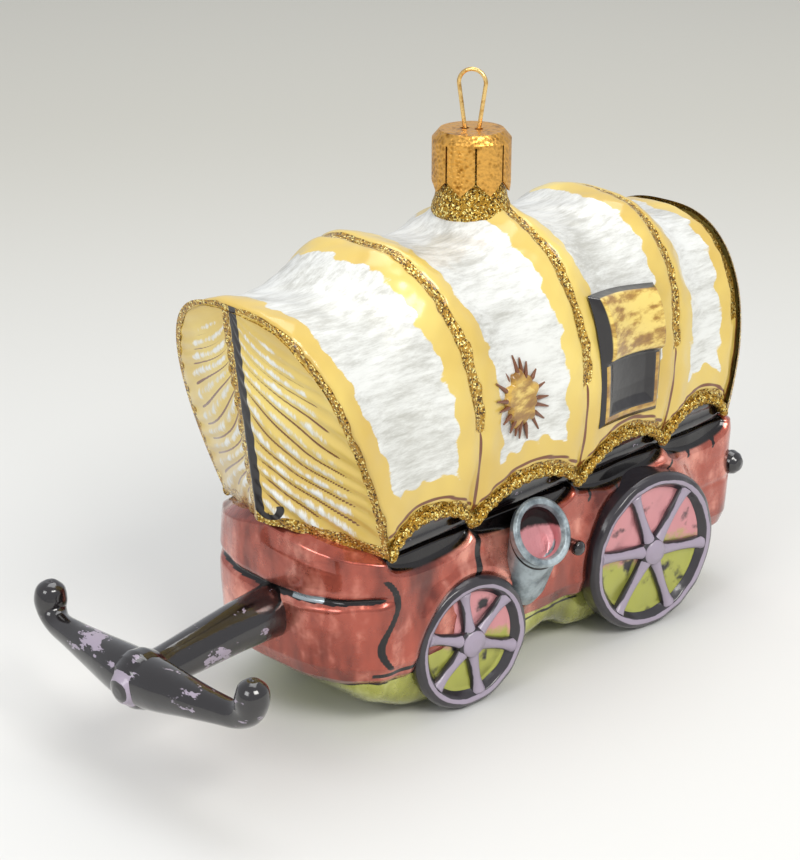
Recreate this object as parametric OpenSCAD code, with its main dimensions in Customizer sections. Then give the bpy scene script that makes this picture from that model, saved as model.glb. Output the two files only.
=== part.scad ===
// Covered wagon tree ornament in mould-blown glass, with a crown cap and a wire hanger.
// Frame: +X towards the draw pole, +Y to the wagon's left, +Z up, millimetres.
// The origin is on the floor, under the middle of the whole length.

/* [Whole] */
// Length from the yoke's nose to the tied rear cloth
total_length = 136; // [113:1:164]
// Half the width of the wagon box at its front corners
box_half_front = 19.3; // [17:0.1:23.2]
// Half the width of the wagon box at its tail
box_half_tail = 20.6; // [18:0.1:25]

/* [Canopy] */
// Height of the canopy's lower edge above the floor
sill_height = 32; // [29:0.5:36]
// Height of the canopy above its lower edge at the middle hoop
canopy_rise = 46.3; // [40:0.1:56]
// How far the cloth sinks between two hoops, as a share of the canopy's rise
cloth_sag = 0.065; // [0:0.005:0.12]
// Rise of the scallops between the hoops
scallop_rise = 4.6; // [2:0.1:6]
// How far the dark sill sits inside the canopy's side
sill_inset = 2.2; // [1:0.1:4]

/* [Box and underside] */
// Height of the wagon box's floor above the table
box_floor = 10; // [7:0.5:13]
// How far the box's front panel stands ahead of its corners
front_bow = 8.4; // [6:0.1:12]
// Half the width of the glass underside
keel_half = 17.5; // [12:0.5:18]
// Height of the arch in the underside, between the wheels
keel_arch = 5; // [2:0.5:8]

/* [Wheels] */
// Radius of the front wheels
front_wheel_r = 11.8; // [9:0.1:14]
// Radius of the rear wheels
rear_wheel_r = 14.8; // [12:0.1:17]
// Thickness of a wheel's rim
wheel_thick = 3.6; // [3:0.1:5]
// Depth of the dish inside a wheel's rim
wheel_dish = 1; // [0.5:0.1:1.5]
// Turn of the wheel faces towards the front, in degrees
wheel_toe = 8; // [0:0.5:12]

/* [Draw pole and yoke] */
// Radius of the draw pole where it leaves the box
pole_root_r = 4.4; // [3.5:0.1:5.5]
// Radius of the draw pole at the yoke
pole_tip_r = 3.3; // [2.5:0.1:4]
// Half the width of the yoke over its horns
yoke_half = 25.5; // [20:0.5:30]
// Radius of the yoke's middle
yoke_hub_r = 4.9; // [4:0.1:6]

/* [Neck, cap and hanger] */
// Outer radius of the glass neck
neck_r = 5.3; // [4.4:0.1:5.5]
// Wall of the glass neck
neck_wall = 0.8; // [0.6:0.1:1.2]
// Outer radius of the crown cap's skirt
cap_r = 6.6; // [6.4:0.1:8]
// Thickness of the cap's metal
cap_wall = 0.4; // [0.3:0.05:0.6]
// Number of petals in the cap's skirt
petals = 8; // [6:1:10]
// Radius of the hanger wire
wire_r = 0.35; // [0.3:0.05:0.45]
// Height of the wire loop above the cap
loop_height = 10.2; // [8:0.1:14]
// Half the width of the wire loop, between wire centres
loop_half = 2.3; // [2:0.1:3.5]

/* [Hidden] */
$fn = 64;

SIDES = [1, -1];
eps = 0.01;
nose_x = total_length / 2;
tail_x = -total_length / 2;
sill_z = sill_height;

// Hoops from front to rear: foot x, apex x, apex height as a share of the rise, half width, roundness
FOOT_X = 0;
APEX_X = 1;
RISE = 2;
HALF = 3;
ROUND = 4;
HOOPS = [
    [28, 42.9, 0.888, 21, 2.9],
    [9, 15.5, 1.009, 22.4, 2.7],
    [-16.6, -13.3, 1, 22.8, 2.8],
    [-41, -42.2, 0.955, 21.4, 2.9],
    [-60.3, -64.4, 0.79, 20.6, 2.7]];
FOOT_HALF = [19.3, 19.7, 20.8, 19.8, 19.4];
hoop_count = len(HOOPS);
arch_steps = 26;
bay_steps = 6;

neck_x = -11.2;
neck_foot_z = sill_z + canopy_rise - 4.3;
collar_foot_z = sill_z + canopy_rise - 1;
collar_top_z = collar_foot_z + 4.6;
collar_r = cap_r - cap_wall - 0.25;
cap_top_z = sill_z + canopy_rise + 12.7;
neck_top_z = cap_top_z - cap_wall - 0.3;
cap_shoulder_z = cap_top_z - 1.4;
petal_root_z = cap_shoulder_z - 6.3;
petal_tip_z = petal_root_z - 2.3;
petal_slit = 0.35;
well_r = 8.5;
well_foot_z = neck_foot_z - 13;
hanger_turn = 26;
wire_gap_half = 1.2;
wire_hole_r = 0.75;
hanger_axis_z = cap_top_z - cap_wall / 2;
leg_reach = neck_r - neck_wall - 0.9;
leg_foot_z = cap_top_z - 21;
loop_top_z = cap_top_z + loop_height;

front_wheel_at = [10.3, box_half_front + 0.5, front_wheel_r];
rear_wheel_at = [-33.8, box_half_front + 3.7, rear_wheel_r];
wheel_root = 6.5;
hub_r = 2.2;
hub_proud = 0.7;
spoke_w = 1.7;
rim_w = 2.1;

pole_z_root = 19.6;
yoke_z = 17.6;
yoke_x = nose_x - yoke_hub_r;
pole_x = box_corner_x() + front_bow;
pail_at = [-3.2, box_side(-3) + 3.2, 27.6];

function mix(a, b, t) = a + (b - a) * t;
function box_corner_x() = HOOPS[0][FOOT_X];
function box_side(x) = mix(box_half_front, box_half_tail, (box_corner_x() - x) / (box_corner_x() - HOOPS[4][FOOT_X]));

// One point of the arch across the canopy: t runs along the wagon in hoops, a is the angle from the left foot
function hoop_value(t, column) = let (i = min(floor(t), hoop_count - 2)) mix(HOOPS[i][column], HOOPS[i + 1][column], t - i);
function foot_half(t) = let (i = min(floor(t), hoop_count - 2)) mix(FOOT_HALF[i], FOOT_HALF[i + 1], t - i);
function sag(t) = 1 - cloth_sag * sin(180 * (t - floor(t)));
function arch_point(t, a) =
    let (n = 2 / hoop_value(t, ROUND),
         h = pow(abs(sin(a)), n),
         side = cos(a) < 0 ? -1 : 1,
         tuck = 1 - (1 - foot_half(t) / hoop_value(t, HALF)) * pow(1 - h, 3),
         s = mix(1, sag(t), min(1, 3 * h)))
    [mix(hoop_value(t, FOOT_X), hoop_value(t, APEX_X), h),
     side * hoop_value(t, HALF) * pow(abs(cos(a)), n) * tuck * s,
     sill_z + canopy_rise * hoop_value(t, RISE) * h * s];

// A closed solid through rings of points that all have the same number of points
module loft(rings) {
    m = len(rings[0]);
    k = len(rings);
    polyhedron(
        points = [for (r = rings) each r],
        faces = [
            [for (j = [m - 1:-1:0]) j],
            for (i = [0:k - 2]) for (j = [0:m - 1]) let (n = (j + 1) % m)
                each [[i * m + j, (i + 1) * m + n, (i + 1) * m + j], [i * m + j, i * m + n, (i + 1) * m + n]],
            [for (j = [0:m - 1]) (k - 1) * m + j]],
        convexity = 6);
}

module on_both_sides(side) {
    if (side > 0) children();
    else mirror([0, 1, 0]) children();
}

// Cylinders across the wagon whose tops are the scallops of the canopy's lower edge
module scallops(half) {
    for (i = [0:hoop_count - 2]) {
        a = HOOPS[i + 1][FOOT_X] + 0.6;
        b = HOOPS[i][FOOT_X] - 0.6;
        r = (pow((b - a) / 2, 2) + pow(scallop_rise, 2)) / (2 * scallop_rise);
        intersection() {
            translate([(a + b) / 2, half, sill_z + scallop_rise - r]) rotate([90, 0, 0]) cylinder(r = r, h = 2 * half);
            translate([a, -half - 1, sill_z]) cube([b - a, 2 * half + 2, scallop_rise + 1]);
        }
    }
}

module canopy() {
    rings = [for (i = [0:(hoop_count - 1) * bay_steps]) let (t = i / bay_steps)
        [for (j = [0:arch_steps]) arch_point(t, 180 * j / arch_steps)]];
    color("ivory") difference() {
        loft(rings);
        scallops(30);
        translate([neck_x, 0, neck_foot_z]) cylinder(r = neck_r, h = 20);
        translate([neck_x, 0, well_foot_z]) cylinder(r = well_r, h = neck_foot_z - well_foot_z + eps);
    }
}

// The drawn front cloth: two flaps that meet in a ridge ahead of the first hoop
module front_curtain() {
    half_steps = arch_steps / 2;
    apex = arch_point(0, 90);
    lean = (apex[0] - HOOPS[0][FOOT_X]) / (apex[2] - sill_z);
    proud_foot = 8.8;
    proud_top = 0.7;
    steps = 4;
    function mouth_x(z) = HOOPS[0][FOOT_X] + lean * (z - sill_z);
    function ridge(h) = let (z = mix(sill_z + 4, apex[2] - 1, h)) [mouth_x(z) + mix(proud_foot, proud_top, h), 0, z];
    function flap(j, u, side) = let (p = arch_point(0, 180 * j / arch_steps), q = ridge(j / half_steps),
        z = mix(p[2], q[2], u))
        [mouth_x(z) + (q[0] - mouth_x(q[2])) * pow(u, 1.3), side * p[1] * (1 - u), z];
    ridge_top = ridge(1);
    rings = [for (j = [0:half_steps - 1]) [
        for (s = [0:steps]) flap(j, s / steps, 1),
        for (s = [steps - 1:-1:0]) flap(j, s / steps, -1)]];
    m = 2 * steps + 1;
    top = len(rings) * m;
    color("khaki") polyhedron(
        points = [for (r = rings) each r, ridge_top],
        faces = [
            [for (k = [m - 1:-1:0]) k],
            for (i = [0:len(rings) - 2]) for (k = [0:m - 1]) let (n = (k + 1) % m)
                each [[i * m + k, i * m + n, (i + 1) * m + n], [i * m + k, (i + 1) * m + n, (i + 1) * m + k]],
            for (k = [0:m - 1]) [top - m + k, top - m + (k + 1) % m, top]],
        convexity = 4);
}

// The rear cloth, drawn together into a low dome
module rear_curtain() {
    centre = [tail_x, 0, sill_z + 19];
    t = hoop_count - 1;
    shares = [1, 0.9, 0.7, 0.42, 0.14];
    bulge = [0, 0.42, 0.76, 0.94, 1];
    function mouth(j) = arch_point(t, 180 * j / arch_steps);
    function at_ring(j, s, b) = let (p = mouth(j), foot_x = mix(HOOPS[t][FOOT_X], HOOPS[t][APEX_X], 0.5))
        [mix(p[0], mix(p[0] - foot_x + centre[0], centre[0], b), b), p[1] * s, mix(centre[2], p[2], s)];
    color("khaki") loft([for (i = [0:len(shares) - 1])
        [for (j = [0:arch_steps]) at_ring(j, shares[i], bulge[i])]]);
}

module neck() {
    color("goldenrod") translate([neck_x, 0, 0]) difference() {
        union() {
            translate([0, 0, neck_foot_z]) cylinder(r = neck_r, h = neck_top_z - neck_foot_z);
            translate([0, 0, collar_foot_z + 1.2]) cylinder(r = collar_r, h = collar_top_z - collar_foot_z - 1.2);
        }
        translate([0, 0, neck_foot_z - 1]) cylinder(r = neck_r - neck_wall, h = 40);
    }
}

// The block of the wagon box, seen from above as a long trapezium with a bowed front
module box_block(foot, top) {
    c = box_corner_x();
    t = HOOPS[4][FOOT_X];
    translate([0, 0, foot]) linear_extrude(top - foot) polygon([
        [c + front_bow, 8], [c + front_bow - 2.5, 14], [c, box_half_front],
        [t, box_half_tail], [t, -box_half_tail],
        [c, -box_half_front], [c + front_bow - 2.5, -14], [c + front_bow, -8]]);
}

module wagon_box() {
    groove = 1.2;
    groove_z = 22.4;
    color("indianred") difference() {
        union() {
            box_block(box_floor, sill_z);
            scallops(box_half_front - sill_inset);
        }
        for (s = SIDES) on_both_sides(s) {
            wheel_disc(front_wheel_at, front_wheel_r);
            wheel_disc(rear_wheel_at, rear_wheel_r);
        }
        translate([box_corner_x() + front_bow, -20, groove_z]) rotate([-90, 0, 0]) cylinder(r = groove, h = 40, $fn = 4);
    }
}

// The end board that closes the box behind the last hoop, with a round knob at each end
module tail_board() {
    thick = 2.6;
    knob = 2.3;
    t = HOOPS[4][FOOT_X];
    color("sienna") union() {
        translate([t - thick, -box_half_tail + 1.5, box_floor + 3])
            cube([thick, 2 * box_half_tail - 3, sill_z - box_floor - 4]);
        translate([t - knob - 0.1, box_half_tail + 1, 22.4]) rotate([90, 0, 0]) cylinder(r = knob, h = 2 * box_half_tail + 2);
    }
}

// The boat-shaped underside: two flat feet with an arch between them
module underside() {
    bow = box_corner_x() + 6;
    stern = HOOPS[4][FOOT_X] + 2;
    arch_a = -1;
    arch_b = -22;
    chord = arch_a - arch_b;
    arch_r = (pow(chord / 2, 2) + pow(keel_arch, 2)) / (2 * keel_arch);
    color("yellowgreen") difference() {
        translate([0, keel_half, 0]) rotate([90, 0, 0]) linear_extrude(2 * keel_half) polygon([
            [bow, box_floor], [bow - 3, box_floor * 0.55], [bow - 9, box_floor * 0.16], [bow - 15, 0],
            [stern + 14, 0], [stern + 7, box_floor * 0.25], [stern, box_floor]]);
        translate([(arch_a + arch_b) / 2, 30, keel_arch - arch_r]) rotate([90, 0, 0]) cylinder(r = arch_r, h = 60);
        for (s = SIDES) on_both_sides(s) {
            wheel_disc(front_wheel_at, front_wheel_r);
            wheel_disc(rear_wheel_at, rear_wheel_r);
        }
    }
}

module wheel_disc(at, r) {
    translate(at) rotate([0, 0, -wheel_toe]) rotate([-90, 0, 0]) translate([0, 0, -wheel_root])
        cylinder(r = r, h = wheel_root + 20);
}

// A wheel in relief: a rim, six spokes and a hub on a thin disc
module wheel(at, r) {
    face = wheel_thick / 2;
    translate(at) rotate([0, 0, -wheel_toe]) rotate([-90, 0, 0]) union() {
        difference() {
            translate([0, 0, -wheel_root]) cylinder(r = r, h = wheel_root + face);
            translate([0, 0, face - wheel_dish]) cylinder(r = r - rim_w, h = 2 * wheel_dish);
        }
        for (a = [0:60:120]) rotate([0, 0, a + 20]) translate([-r + rim_w / 2, -spoke_w / 2, -face])
            cube([2 * r - rim_w, spoke_w, wheel_thick - 0.2]);
        cylinder(r = hub_r, h = face + hub_proud);
    }
}

module front_wheel(side) {
    color("dimgray") on_both_sides(side) wheel(front_wheel_at, front_wheel_r);
}

module rear_wheel(side) {
    color("dimgray") on_both_sides(side) wheel(rear_wheel_at, rear_wheel_r);
}

// A tapering round bar between two points
module bar(a, b, ra, rb) {
    d = b - a;
    l = norm(d);
    translate(a) rotate([0, acos(d[2] / l), atan2(d[1], d[0])]) cylinder(r1 = ra, r2 = rb, h = l);
}

module draw_pole() {
    a = [pole_x - 3, 0, pole_z_root];
    b = [yoke_x, 0, yoke_z];
    color("black") difference() {
        bar(a, b, pole_root_r, pole_tip_r);
        translate([pole_x - 10, -10, 0]) cube([10, 20, 40]);
        yoke_solid();
    }
}

// The crossbar: a round middle and two horns that end in upturned knobs
module yoke() {
    color("black") yoke_solid();
}

module yoke_solid() {
    hub = [yoke_x, 0, yoke_z];
    knee = [yoke_x - 0.6, yoke_half - 3.2, yoke_z + 2.4];
    knob = [yoke_x - 1.6, yoke_half - 2.3, yoke_z + 6];
    union() {
        translate(hub) sphere(r = yoke_hub_r);
        for (s = SIDES) on_both_sides(s) {
            bar(hub + [0, 2, 0.2], knee, 3.9, 2.1);
            translate(knee) sphere(r = 2.5);
            bar(knee, knob, 2.1, 1.9);
            translate(knob) sphere(r = 2.4);
        }
    }
}

// A pail hung on the side, with its mouth turned out and up
module water_pail(side) {
    rim = 5.9;
    mouth = 3.9;
    color("lightsteelblue") on_both_sides(side) difference() {
        hull() {
            translate(pail_at) rotate([-62, 0, -8]) cylinder(r = rim, h = 1.6, $fn = 32);
            translate(pail_at + [-1, -4, -6.5]) sphere(r = 4.4, $fn = 32);
        }
        translate(pail_at) rotate([-62, 0, -8]) translate([0, 0, -3]) cylinder(r = mouth, h = 8);
        box_block(0, sill_z + 1);
        scallops(box_half_front - sill_inset);
        translate([-60, 0, sill_z]) cube([120, box_half_front + 2.2, 30]);
    }
}

module pail_peg(side) {
    r = 1.1;
    reach = 2.4;
    x = -14.5;
    color("black") on_both_sides(side) difference() {
        translate([x, box_side(x) - 1, 21.4]) rotate([-90, 0, 0]) union() {
            cylinder(r = r, h = reach + 1);
            translate([0, 0, reach + 1]) sphere(r = r);
        }
        box_block(0, sill_z);
    }
}

// The rolled blind over the side window, a low pillow on the cloth
module window_blind(side) {
    w = 14.5;
    tall = 11;
    centre = [-27.2, 0, 57.8];
    color("peru") on_both_sides(side) difference() {
        translate([centre[0] - w / 2, 16, centre[2] - tall / 2]) cube([w, 6.6, tall]);
        canopy_core();
    }
}

// The canopy without its well and scallops, to seat what lies on it
module canopy_core() {
    loft([for (i = [0:(hoop_count - 1) * bay_steps]) let (t = i / bay_steps)
        [for (j = [0:arch_steps]) arch_point(t, 180 * j / arch_steps)]]);
}

// The stamped cap: a flat top with two wire holes, a sloping shoulder and a skirt of pointed petals
module crown_cap() {
    step = 360 / petals;
    color("gold") translate([neck_x, 0, 0]) rotate([0, 0, hanger_turn]) difference() {
        rotate_extrude() polygon([
            [0, cap_top_z - cap_wall], [cap_r - 1.3, cap_top_z - cap_wall], [cap_r - cap_wall, cap_shoulder_z - cap_wall / 2],
            [cap_r - cap_wall, petal_tip_z], [cap_r, petal_tip_z], [cap_r, cap_shoulder_z], [cap_r - 1.2, cap_top_z], [0, cap_top_z]]);
        for (s = SIDES) translate([0, s * wire_gap_half, cap_top_z - 2]) cylinder(r = wire_hole_r, h = 4);
        for (i = [0:petals - 1]) rotate([0, 0, (i + 0.5) * step]) translate([cap_r, 0, 0]) {
            translate([-2, -petal_slit / 2, petal_tip_z - 1]) cube([4, petal_slit, cap_shoulder_z - petal_tip_z + 0.6]);
            half = cap_r * sin(step / 2);
            translate([-3, 0, 0]) rotate([90, 0, 90]) linear_extrude(6) polygon([
                [-half, petal_tip_z - eps], [half, petal_tip_z - eps], [0, petal_root_z]]);
        }
    }
}

// Spring wire: a drop-shaped loop over the cap and two spread legs inside the neck
module wire_hanger() {
    ring_z = loop_top_z - wire_r - loop_half;
    color("darkgoldenrod") translate([neck_x, 0, 0]) rotate([0, 0, hanger_turn]) union() {
        translate([0, 0, ring_z]) rotate([90, 0, 90]) rotate_extrude(angle = 180) translate([loop_half, 0]) circle(r = wire_r, $fn = 24);
        for (s = SIDES) on_both_sides(s) {
            translate([0, loop_half, ring_z]) sphere(r = wire_r, $fn = 24);
            bar([0, loop_half, ring_z], [0, wire_gap_half, cap_top_z], wire_r, wire_r, $fn = 24);
            translate([0, wire_gap_half, cap_top_z]) sphere(r = wire_r, $fn = 24);
            bar([0, wire_gap_half, cap_top_z], [0, leg_reach, leg_foot_z], wire_r, wire_r, $fn = 24);
            translate([0, leg_reach, leg_foot_z]) sphere(r = wire_r, $fn = 24);
        }
    }
}

canopy();
front_curtain();
rear_curtain();
neck();
wagon_box();
tail_board();
underside();
front_wheel(1);  // front_wheel_left
front_wheel(-1);  // front_wheel_right
rear_wheel(1);  // rear_wheel_left
rear_wheel(-1);  // rear_wheel_right
draw_pole();
yoke();
water_pail(1);  // water_pail_left
water_pail(-1);  // water_pail_right
pail_peg(1);  // pail_peg_left
pail_peg(-1);  // pail_peg_right
window_blind(1);  // window_blind_left
window_blind(-1);  // window_blind_right
crown_cap();
wire_hanger();
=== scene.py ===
"""A mould-blown, hand-painted glass ornament shaped like a covered wagon, under its crown cap and wire."""

import math

import bpy
import numpy as np
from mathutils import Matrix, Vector

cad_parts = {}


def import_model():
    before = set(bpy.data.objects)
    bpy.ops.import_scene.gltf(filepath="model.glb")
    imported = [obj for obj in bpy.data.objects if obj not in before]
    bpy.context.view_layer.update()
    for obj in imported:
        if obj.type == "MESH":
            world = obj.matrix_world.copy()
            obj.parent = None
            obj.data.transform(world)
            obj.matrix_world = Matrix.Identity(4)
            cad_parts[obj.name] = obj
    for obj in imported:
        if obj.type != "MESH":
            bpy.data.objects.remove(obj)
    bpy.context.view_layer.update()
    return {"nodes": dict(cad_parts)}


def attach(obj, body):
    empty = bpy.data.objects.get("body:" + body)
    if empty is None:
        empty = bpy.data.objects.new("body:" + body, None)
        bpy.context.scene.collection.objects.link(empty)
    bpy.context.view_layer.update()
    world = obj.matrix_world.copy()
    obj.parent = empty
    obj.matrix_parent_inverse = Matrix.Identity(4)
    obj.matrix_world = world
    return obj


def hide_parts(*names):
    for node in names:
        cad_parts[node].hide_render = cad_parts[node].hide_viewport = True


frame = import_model()
MM = 0.001
SIDES = ((1, "left"), (-1, "right"))


# ---------------------------------------------------------------- paint and lacquer
class Sock:
    """An output of a shader node, with Python's operators."""

    def __init__(self, finish, out):
        self.finish, self.out = finish, out

    def maths(self, operation, *values):
        return self.finish.node("ShaderNodeMath", {"operation": operation}, *values)

    def __add__(self, o):
        return self.maths("ADD", self, o)

    def __sub__(self, o):
        return self.maths("SUBTRACT", self, o)

    def __rsub__(self, o):
        return self.maths("SUBTRACT", o, self)

    def __mul__(self, o):
        return self.maths("MULTIPLY", self, o)

    def __truediv__(self, o):
        return self.maths("DIVIDE", self, o)

    def __rtruediv__(self, o):
        return self.maths("DIVIDE", o, self)

    def __pow__(self, o):
        return self.maths("POWER", self, o)

    def __neg__(self):
        return self * -1

    __radd__, __rmul__ = __add__, __mul__

    def ramp(self, low, high):
        """0 below low, 1 above high, smooth between."""
        smooth = {"interpolation_type": "SMOOTHSTEP"}
        return self.finish.node("ShaderNodeMapRange", smooth, self, low, high, 0, 1)


class Finish:
    """A material on the Principled shader. Constants go straight on its sockets."""

    def __init__(self, name, **fixed):
        self.data = bpy.data.materials.new(name)
        self.data.use_nodes = True
        self.tree = self.data.node_tree
        self.shader = self.tree.nodes["Principled BSDF"]
        self.place = self.node("ShaderNodeTexCoord", out=3)
        self.put(**fixed)

    def node(self, kind, settings=None, *values, out=0, **named):
        made = self.tree.nodes.new(kind)
        for key, value in (settings or {}).items():
            setattr(made, key, value)
        for index, value in enumerate(values):
            self.feed(made.inputs[index], value)
        for key, value in named.items():
            self.feed(made.inputs[key.replace("_", " ")], value)
        return Sock(self, made.outputs[out])

    def feed(self, socket, value):
        if isinstance(value, Sock):
            self.tree.links.new(value.out, socket)
        elif socket.type == "RGBA" and len(value) == 3:
            socket.default_value = (*value, 1)
        else:
            socket.default_value = value

    def put(self, **inputs):
        for key, value in inputs.items():
            self.feed(self.shader.inputs[key.replace("_", " ")], value)
        return self

    def stretched(self, stretch):
        return self.node("ShaderNodeMapping", None, self.place, Scale=stretch)

    def noise(self, scale, detail=3, roughness=0.5, stretch=None):
        where = self.stretched(stretch) if stretch else self.place
        return self.node("ShaderNodeTexNoise", None, Vector=where, Scale=scale, Detail=detail,
                         Roughness=roughness)

    def grains(self, scale, out="Color"):
        made = self.tree.nodes.new("ShaderNodeTexVoronoi")
        self.feed(made.inputs["Vector"], self.place)
        made.inputs["Scale"].default_value = scale
        return Sock(self, made.outputs[out])

    def painted(self, name):
        return self.node("ShaderNodeAttribute", {"attribute_name": name}, out=2)

    def mix(self, share, a, b):
        made = self.tree.nodes.new("ShaderNodeMix")
        made.data_type = "RGBA"
        self.feed(made.inputs[0], share)
        self.feed(made.inputs[6], a)
        self.feed(made.inputs[7], b)
        return Sock(self, made.outputs[2])

    def bump(self, height, strength, distance):
        return self.node("ShaderNodeBump", None, Strength=strength, Distance=distance, Height=height)


def srgb(r, g, b):
    """A colour as the eye reads it, 0 to 255, turned into light."""
    return tuple((c / 255 / 12.92) if c < 11 else ((c / 255 + 0.055) / 1.055) ** 2.4 for c in (r, g, b))


YELLOW, YELLOW_DEEP = srgb(236, 212, 118), srgb(206, 174, 84)
PEARL, PEARL_GREY = srgb(232, 233, 228), srgb(182, 181, 172)
GOLD_DARK, GOLD, GOLD_LIGHT = srgb(92, 64, 16), srgb(190, 146, 50), srgb(255, 236, 150)
BROWN, INK = srgb(112, 62, 26), srgb(20, 15, 16)
COPPER_DARK, COPPER, COPPER_PALE = srgb(104, 44, 34), srgb(176, 84, 66), srgb(236, 156, 136)
GREEN_DARK, GREEN, GREEN_PALE = srgb(122, 122, 40), srgb(176, 178, 84), srgb(216, 218, 140)
CHARCOAL, LILAC, PINK = srgb(44, 40, 45), srgb(156, 144, 160), srgb(214, 146, 150)
SILVER_DARK, SILVER = srgb(96, 106, 112), srgb(176, 188, 192)
OCHRE, OCHRE_DARK = srgb(206, 166, 70), srgb(140, 98, 30)
GLITTER_CELLS = 3600


def gold_flecks(f):
    """Colour, roughness and height of glued glitter."""
    cells = f.grains(GLITTER_CELLS)
    grain = f.node("ShaderNodeSeparateColor", None, cells, out=0)
    sparkle = f.node("ShaderNodeSeparateColor", None, cells, out=1)
    colour = f.mix(grain.ramp(0.15, 0.5), GOLD_DARK, GOLD)
    colour = f.mix(sparkle.ramp(0.72, 0.9), colour, GOLD_LIGHT)
    return colour, 0.22 + grain * 0.3, grain * 0.6 + f.grains(GLITTER_CELLS, "Distance") * 0.6


def glass_lumps(f, strength=0.35):
    return f.bump(f.noise(90, 2) + f.noise(330, 2) * 0.25, strength, 0.0012)


def glitter_finish():
    f = Finish("glued_gold_glitter", Metallic=0.75, Specular_IOR_Level=0.6)
    colour, rough, height = gold_flecks(f)
    return f.put(Base_Color=colour, Roughness=rough, Normal=f.bump(height, 0.9, 0.0004))


def cloth_finish(name, strokes):
    """Yellow lacquer, brushed pearl, painted lines and glitter, laid by the painted masks."""
    f = Finish(name, Coat_Weight=0.55, Coat_Roughness=0.12, Specular_IOR_Level=0.5)
    tone = f.noise(42, 3)
    yellow = f.mix(tone.ramp(0.3, 0.72), YELLOW_DEEP, YELLOW)
    yellow = f.mix(f.painted("low").ramp(0, 1) * 0.55, yellow, YELLOW_DEEP)
    stroke = f.noise(300, 5, 0.7, strokes)
    fine = f.noise(900, 4, 0.75, strokes)
    broad = f.noise(60, 2)
    pearl = f.mix((stroke * 0.25 + fine * 0.45 + broad * 0.3).ramp(0.34, 0.6), PEARL_GREY, PEARL)
    dry = f.painted("pearl") + (stroke - 0.5) * 0.7 + (fine - 0.5) * 0.5
    pearly = dry.ramp(0.42, 0.62)
    colour = f.mix(pearly, yellow, pearl)
    colour = f.mix(f.painted("line").ramp(0.35, 0.65), colour, BROWN)
    colour = f.mix(f.painted("ink").ramp(0.35, 0.65), colour, INK)
    flecks, rough, height = gold_flecks(f)
    glued = (f.painted("glitter") + (f.noise(700, 3) - 0.5) * 0.5).ramp(0.42, 0.56)
    colour = f.mix(glued, colour, flecks)
    bumps = f.noise(70, 2) * 0.9 + stroke * pearly * 0.12 + height * glued * 0.5
    return f.put(
        Base_Color=colour, Metallic=pearly * 0.12 * (1 - glued) + glued * 0.75,
        Roughness=(0.3 + pearly * 0.12) * (1 - glued) + rough * glued, Normal=f.bump(bumps, 0.55, 0.0009))


def lacquer_finish(name, dark, middle, pale, streaks=(1, 1, 0.35)):
    f = Finish(name, Metallic=0.72, Coat_Weight=0.8, Coat_Roughness=0.06)
    cloud = f.noise(75, 4, 0.6, streaks)
    patch = f.noise(240, 3, 0.6)
    colour = f.mix(cloud.ramp(0.36, 0.54), dark, middle)
    colour = f.mix((cloud + (patch - 0.5) * 0.4).ramp(0.5, 0.7), colour, pale)
    colour = f.mix(f.painted("line").ramp(0.35, 0.65), colour, INK)
    colour = f.mix(f.painted("pearl").ramp(0.35, 0.65), colour, SILVER)
    return f.put(Base_Color=colour, Roughness=0.2 + patch * 0.14, Normal=glass_lumps(f, 0.5))


def black_finish():
    f = Finish("black_lacquer", Coat_Weight=0.8, Coat_Roughness=0.05, Specular_IOR_Level=0.6)
    stroke = (f.noise(420, 4, 0.7, (0.6, 0.35, 1)) + f.painted("pearl") * 0.13).ramp(0.645, 0.68)
    return f.put(Base_Color=f.mix(stroke, INK, LILAC), Roughness=0.16 + stroke * 0.3, Normal=glass_lumps(f))


def wheel_finish():
    f = Finish("charcoal_wheel_paint", Coat_Weight=0.5, Coat_Roughness=0.12)
    stroke = f.noise(150, 4, 0.65)
    dry = (stroke * 0.6 + f.painted("raised") * 0.5).ramp(0.5, 0.62)
    colour = f.mix(dry, CHARCOAL, LILAC)
    between = f.painted("between").ramp(0.4, 0.6)
    upper = (f.painted("upper") + (stroke - 0.5) * 0.9).ramp(0.4, 0.6)
    bright = f.mix(upper, GREEN, PINK)
    bright = f.mix(f.noise(260, 3).ramp(0.58, 0.72), bright, CHARCOAL)
    return f.put(Base_Color=f.mix(between, colour, bright), Roughness=0.28 + dry * 0.2,
                 Metallic=between * 0.5, Normal=glass_lumps(f, 0.6))


def pail_finish():
    f = Finish("frosted_silver_paint", Metallic=0.55, Coat_Weight=0.3, Coat_Roughness=0.3)
    cloud = f.noise(200, 4, 0.65)
    colour = f.mix(cloud.ramp(0.35, 0.65), SILVER_DARK, SILVER)
    # the line mask on the pail carries its rim line and the painted shadow inside its mouth
    colour = f.mix(f.painted("line").ramp(0.35, 0.65), colour, INK)
    colour = f.mix((f.painted("upper") + (cloud - 0.5) * 0.6).ramp(0.4, 0.6), colour, PINK)
    return f.put(Base_Color=colour, Roughness=0.34 + cloud * 0.16,
                 Normal=f.bump(f.noise(900, 3), 0.35, 0.0004))


def ochre_finish():
    f = Finish("ochre_cloth_paint", Coat_Weight=0.6, Coat_Roughness=0.1)
    stroke = f.noise(170, 4, 0.6, (1, 1, 2.5))
    colour = f.mix(stroke.ramp(0.35, 0.62), OCHRE_DARK, OCHRE)
    colour = f.mix(f.painted("pearl") * stroke.ramp(0.45, 0.6), colour, YELLOW)
    colour = f.mix(f.painted("line").ramp(0.35, 0.65), colour, BROWN)
    colour = f.mix(f.painted("ink").ramp(0.35, 0.65), colour, INK)
    return f.put(Base_Color=colour, Roughness=0.24 + stroke * 0.14, Normal=glass_lumps(f, 0.5))


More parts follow.
